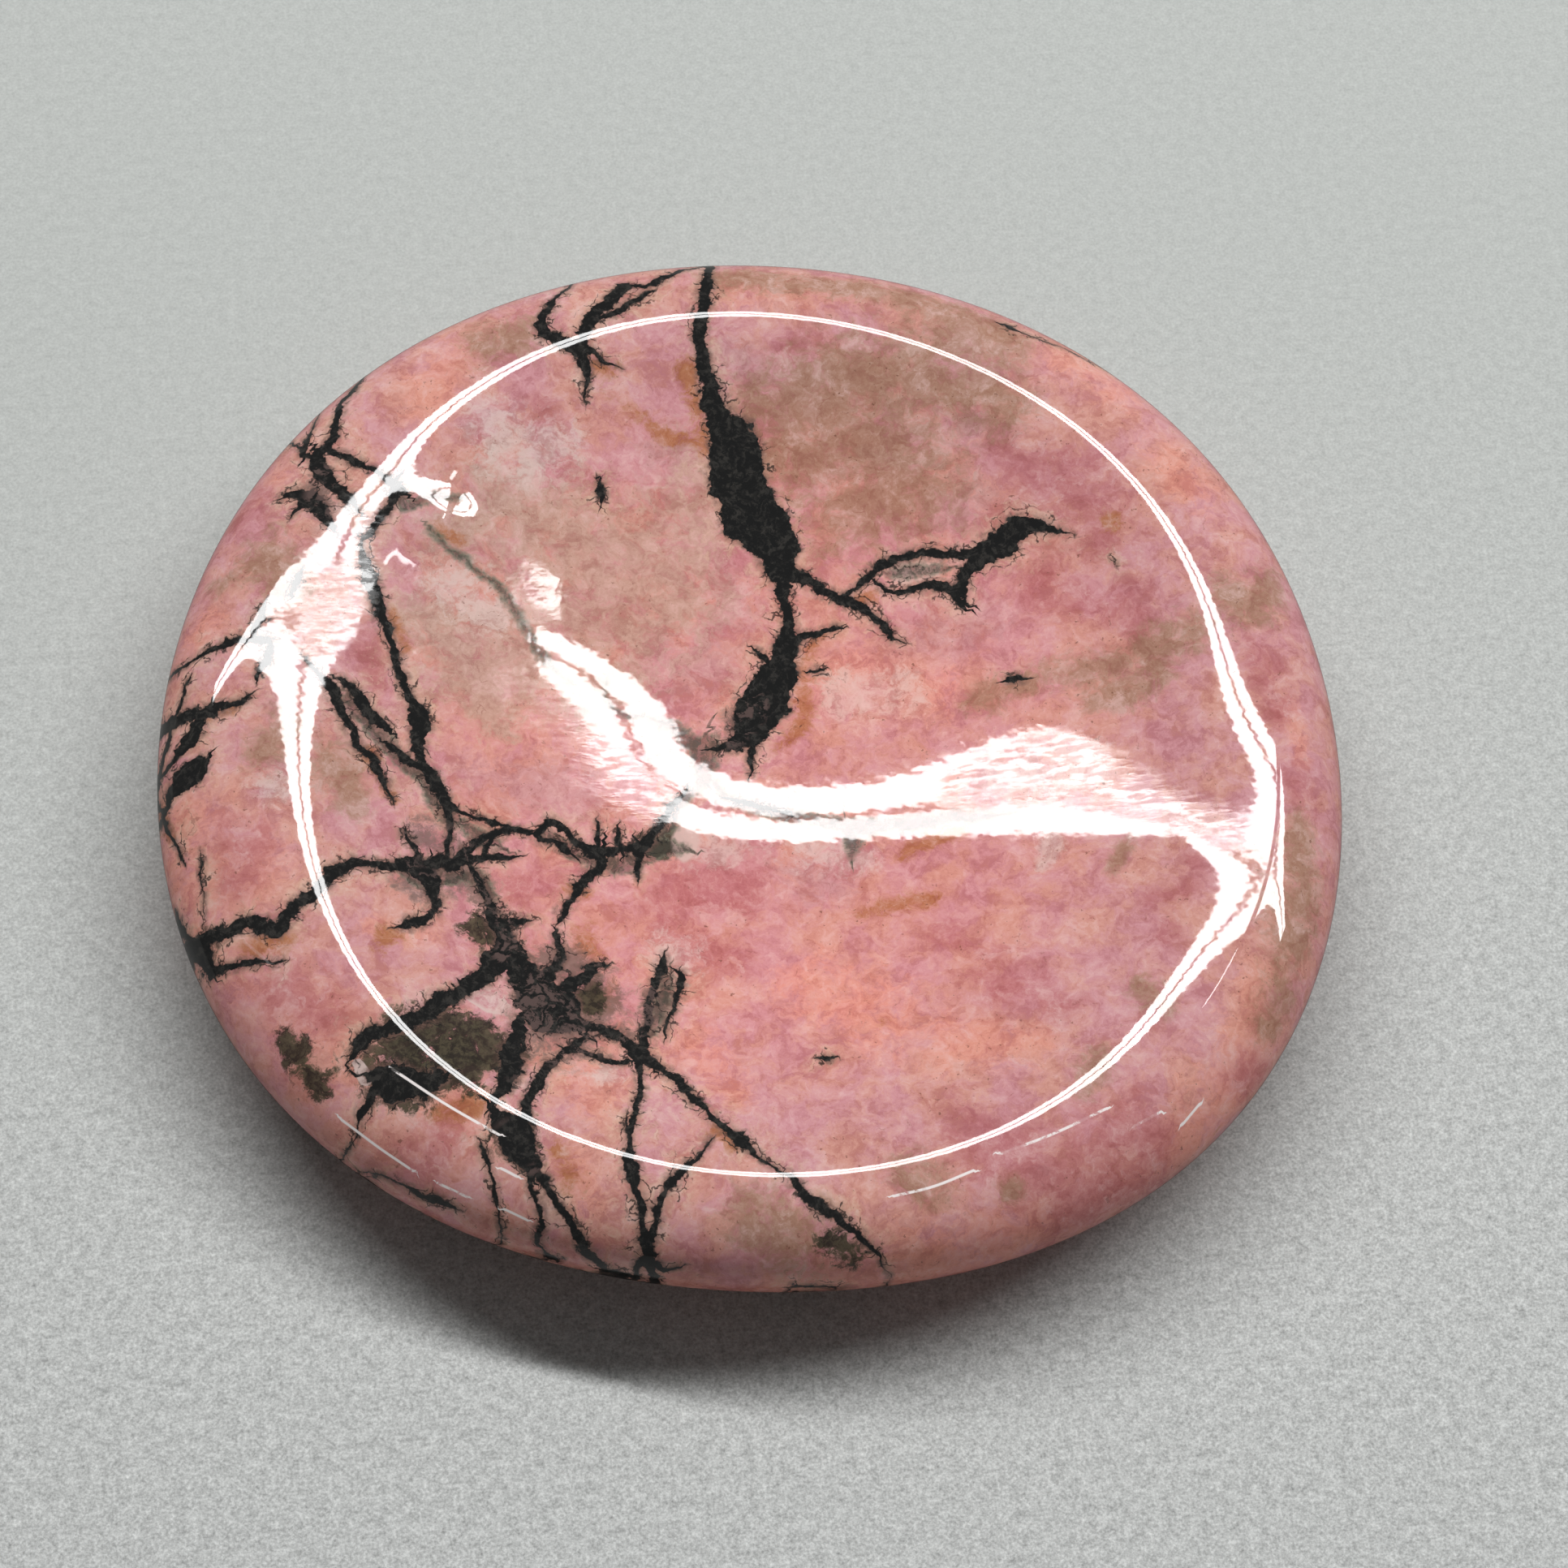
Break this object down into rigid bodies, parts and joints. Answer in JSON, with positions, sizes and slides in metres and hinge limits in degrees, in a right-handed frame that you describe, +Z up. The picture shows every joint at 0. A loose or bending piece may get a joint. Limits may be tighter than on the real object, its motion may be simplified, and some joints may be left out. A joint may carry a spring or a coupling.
{
  "type": "worry stone",
  "caption": "Flat, nearly round polished pebble with a shallow thumb hollow in its top and a low domed underside; pink rhodonite with black veins.",
  "frame": {"origin": "middle of the flat spot that the stone rests on, which is the middle of its box from below", "axes": "+X along the stone's length, +Y across it, +Z up out of the thumb hollow"},
  "size_m": [0.04, 0.0386, 0.0058],
  "materials": {
    "rhodonite": "polished"
  },
  "bodies": {
    "root": {"stone": "rhodonite"}
  },
  "joints": []
}
